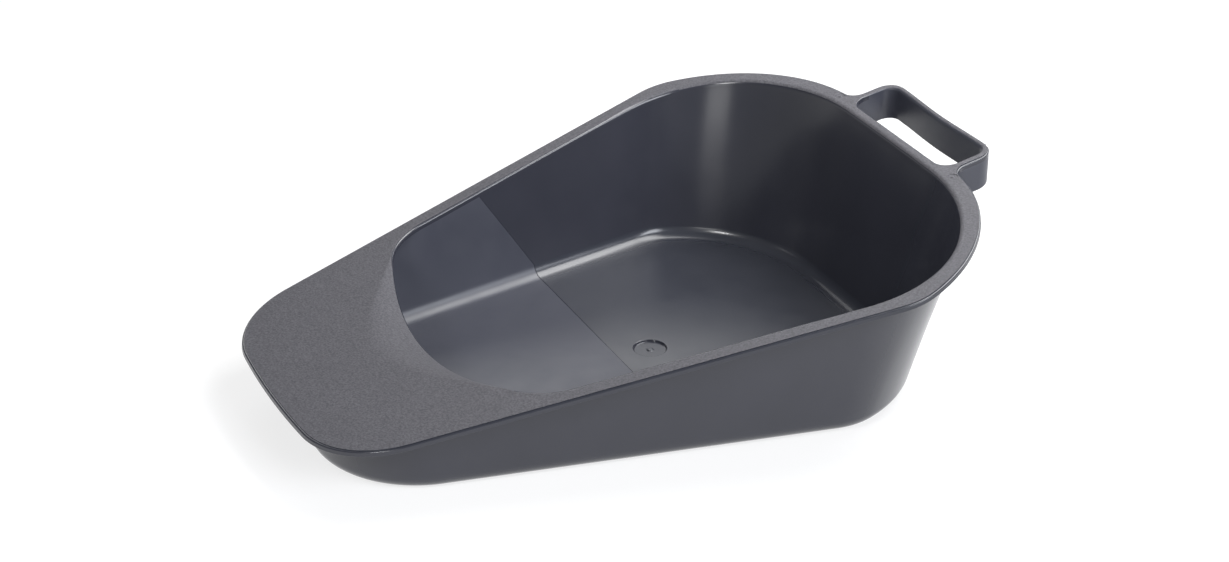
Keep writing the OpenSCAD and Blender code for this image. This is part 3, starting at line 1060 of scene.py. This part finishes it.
class Nodes:
    """A short way to add and link shader nodes."""

    def __init__(self, name):
        self.material = bpy.data.materials.new(name)
        self.material.use_nodes = True
        self.tree = self.material.node_tree
        self.shader = self.tree.nodes["Principled BSDF"]
        self.place = self.add("ShaderNodeTexCoord").outputs["Object"]

    def add(self, kind, links=None, **settings):
        node = self.tree.nodes.new(kind)
        for key, value in settings.items():
            setattr(node, key, value)
        for socket, value in (links or {}).items():
            if isinstance(value, bpy.types.NodeSocket):
                self.tree.links.new(value, node.inputs[socket])
            else:
                node.inputs[socket].default_value = value
        return node

    def noise(self, scale, detail=2.0, roughness=0.5):
        settings = {"Vector": self.place, "Scale": scale, "Detail": detail, "Roughness": roughness}
        return self.add("ShaderNodeTexNoise", settings).outputs["Fac"]

    def ramp(self, value, low, high):
        """low and high are (value in, value out)."""
        links = {"From Min": low[0], "To Min": low[1], "From Max": high[0], "To Max": high[1]}
        return self.add("ShaderNodeMapRange", {"Value": value, **links}).outputs["Result"]

    def mix(self, factor, a, b):
        node = self.add("ShaderNodeMix", data_type="RGBA")
        self.tree.links.new(factor, node.inputs["Factor"])
        for socket, color in (("A", a), ("B", b)):
            target = next(s for s in node.inputs if s.name == socket and s.type == "RGBA")
            if isinstance(color, bpy.types.NodeSocket):
                self.tree.links.new(color, target)
            else:
                target.default_value = (*color, 1)
        return next(s for s in node.outputs if s.type == "RGBA")

    def bump(self, height, distance, below=None):
        """distance is in metres, and below is the normal of a coarser bump under this one."""
        links = {"Height": height, "Distance": distance, "Strength": 1.0}
        if below is not None:
            links["Normal"] = below
        return self.add("ShaderNodeBump", links).outputs["Normal"]

    def surface(self, color, roughness, normal, specular):
        for socket, value in (("Base Color", color), ("Roughness", roughness), ("Normal", normal)):
            self.tree.links.new(value, self.shader.inputs[socket])
        self.shader.inputs["IOR"].default_value = 1.5
        self.shader.inputs["Specular IOR Level"].default_value = specular
        return self.material


def textured_plastic():
    """Polypropylene from a spark-eroded mould face: a fine, even, matt grain."""
    n = Nodes("textured_face")
    grain = n.noise(1000, detail=2.5, roughness=0.6)
    mottle = n.noise(45, detail=3)
    color = n.mix(n.ramp(grain, (0.34, 0), (0.66, 1)), (0.046, 0.045, 0.052), (0.094, 0.092, 0.102))
    color = n.mix(n.ramp(mottle, (0.3, 0), (0.8, 0.25)), color, (0.056, 0.055, 0.062))
    roughness = n.ramp(grain, (0.3, 0.6), (0.7, 0.72))
    normal = n.bump(grain, 0.00018, below=n.bump(n.noise(14, detail=1), 0.0004))
    return n.surface(color, roughness, normal, 0.3)


def smooth_plastic(name, low_color, high_color, low_roughness, high_roughness):
    """The same polypropylene from a smooth mould face, with a faint waviness from cooling."""
    n = Nodes(name)
    clouds = n.noise(22, detail=3)
    color = n.mix(n.ramp(clouds, (0.3, 0), (0.7, 1)), low_color, high_color)
    roughness = n.ramp(n.noise(90, detail=3), (0.3, low_roughness), (0.7, high_roughness))
    normal = n.bump(n.noise(17, detail=1), 0.0004)
    return n.surface(color, roughness, normal, 0.5)


# --- stage, lights and camera ---


FLOOR_HALF = 6.0
FLOOR_GAP = 0.0002
FLOOR_GLOW = 0.7


def stage_floor():
    mesh = bpy.data.meshes.new("floor")
    signs = ((-1, -1), (1, -1), (1, 1), (-1, 1))
    corners = [(x * FLOOR_HALF, y * FLOOR_HALF, cad_low.z - FLOOR_GAP) for x, y in signs]
    mesh.from_pydata(corners, [], [(0, 1, 2, 3)])
    floor = bpy.data.objects.new("floor", mesh)
    bpy.context.scene.collection.objects.link(floor)
    n = Nodes("pale_floor")
    color = n.mix(n.noise(3), (0.27, 0.27, 0.27), (0.29, 0.29, 0.29))
    n.surface(color, n.ramp(n.noise(40), (0, 0.6), (1, 0.7)), n.bump(n.noise(300), 0.00002), 0.3)
    n.shader.inputs["Emission Color"].default_value = (1, 1, 1, 1)
    n.shader.inputs["Emission Strength"].default_value = FLOOR_GLOW
    mesh.materials.append(n.material)


def softbox(name, azimuth, elevation, distance, size, radiance, color=(1, 1, 1)):
    """A rectangular light that faces the frame's origin. Its azimuth and elevation are in degrees,
    and its distance, width and height in metres."""
    data = bpy.data.lights.new(name, "AREA")
    data.shape = "RECTANGLE"
    data.size, data.size_y = size
    data.energy = radiance * math.pi * size[0] * size[1]
    data.color = color
    light = bpy.data.objects.new(name, data)
    a, e = math.radians(azimuth), math.radians(elevation)
    place = Vector((math.cos(a) * math.cos(e), math.sin(a) * math.cos(e), math.sin(e))) * distance
    light.location = place
    light.rotation_euler = (-place).to_track_quat("-Z", "Y").to_euler()
    bpy.context.scene.collection.objects.link(light)


# The sines of the elevations where the backdrop starts to fade and ends, and the brightness of it
# and of the room above
BACKDROP = (0.0, 0.22, 0.6, 0.2)


def room():
    """A dim room whose white backdrop shows as a bright band above the horizon."""
    world = bpy.data.worlds.new("studio")
    world.use_nodes = True
    nodes, links = world.node_tree.nodes, world.node_tree.links
    direction = nodes.new("ShaderNodeTexCoord")
    height = nodes.new("ShaderNodeSeparateXYZ")
    band = nodes.new("ShaderNodeMapRange")
    band.interpolation_type = "SMOOTHSTEP"
    for name, value in zip(("From Min", "From Max", "To Min", "To Max"), BACKDROP):
        band.inputs[name].default_value = value
    background = nodes["Background"]
    background.inputs["Color"].default_value = (0.95, 0.97, 1.0, 1)
    links.new(direction.outputs["Generated"], height.inputs["Vector"])
    links.new(height.outputs["Z"], band.inputs["Value"])
    links.new(band.outputs["Result"], background.inputs["Strength"])
    bpy.context.scene.world = world


def lights():
    room()
    softbox("key", 100, 56, 0.62, (0.44, 0.37), 10.2)
    softbox("spot", -60, 38, 1.4, (0.26, 0.2), 42)
    softbox("front", -46, 18.5, 1.4, (0.5, 0.3), 4.0)
    softbox("back", 168, 34, 1.5, (1.0, 0.4), 3.2)
    softbox("side", 24, 32, 3.0, (2.0, 1.2), 12.5, (0.91, 0.94, 1.0))
    bpy.context.scene.view_settings.view_transform = "Standard"


# The camera's place is in metres. Its azimuth is the turn from facing +Y, and its elevation is the
# angle that it looks down by, in degrees.
CAMERA_PLACE = (0.9554, -0.4665, 0.6029)
CAMERA_AZIMUTH = 64.133
CAMERA_ELEVATION = 27.843
CAMERA_LENS = 76.31


def camera():
    data = bpy.data.cameras.new("camera")
    data.sensor_width = 36
    data.lens = CAMERA_LENS
    obj = bpy.data.objects.new("camera", data)
    obj.location = CAMERA_PLACE
    obj.rotation_euler = (math.radians(90 - CAMERA_ELEVATION), 0, math.radians(CAMERA_AZIMUTH))
    bpy.context.scene.collection.objects.link(obj)
    bpy.context.scene.camera = obj


# --- the scene ---

build_shell()
build_floor()
build_vestige()
build_rim()
build_handle()
materials = [
    textured_plastic(),
    smooth_plastic("polished_face", (0.024, 0.025, 0.033), (0.028, 0.029, 0.038), 0.19, 0.22),
    smooth_plastic("satin_face", (0.033, 0.035, 0.047), (0.037, 0.039, 0.052), 0.36, 0.44),
    smooth_plastic("floor_face", (0.025, 0.027, 0.035), (0.029, 0.031, 0.04), 0.3, 0.36),
    smooth_plastic("gloss_face", (0.025, 0.027, 0.035), (0.029, 0.031, 0.04), 0.2, 0.25),
]
for node_name, piece_object in build_meshes().items():
    for material in materials:
        piece_object.data.materials.append(material)
    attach(piece_object, "root")
    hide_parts(node_name)
stage_floor()
lights()
camera()
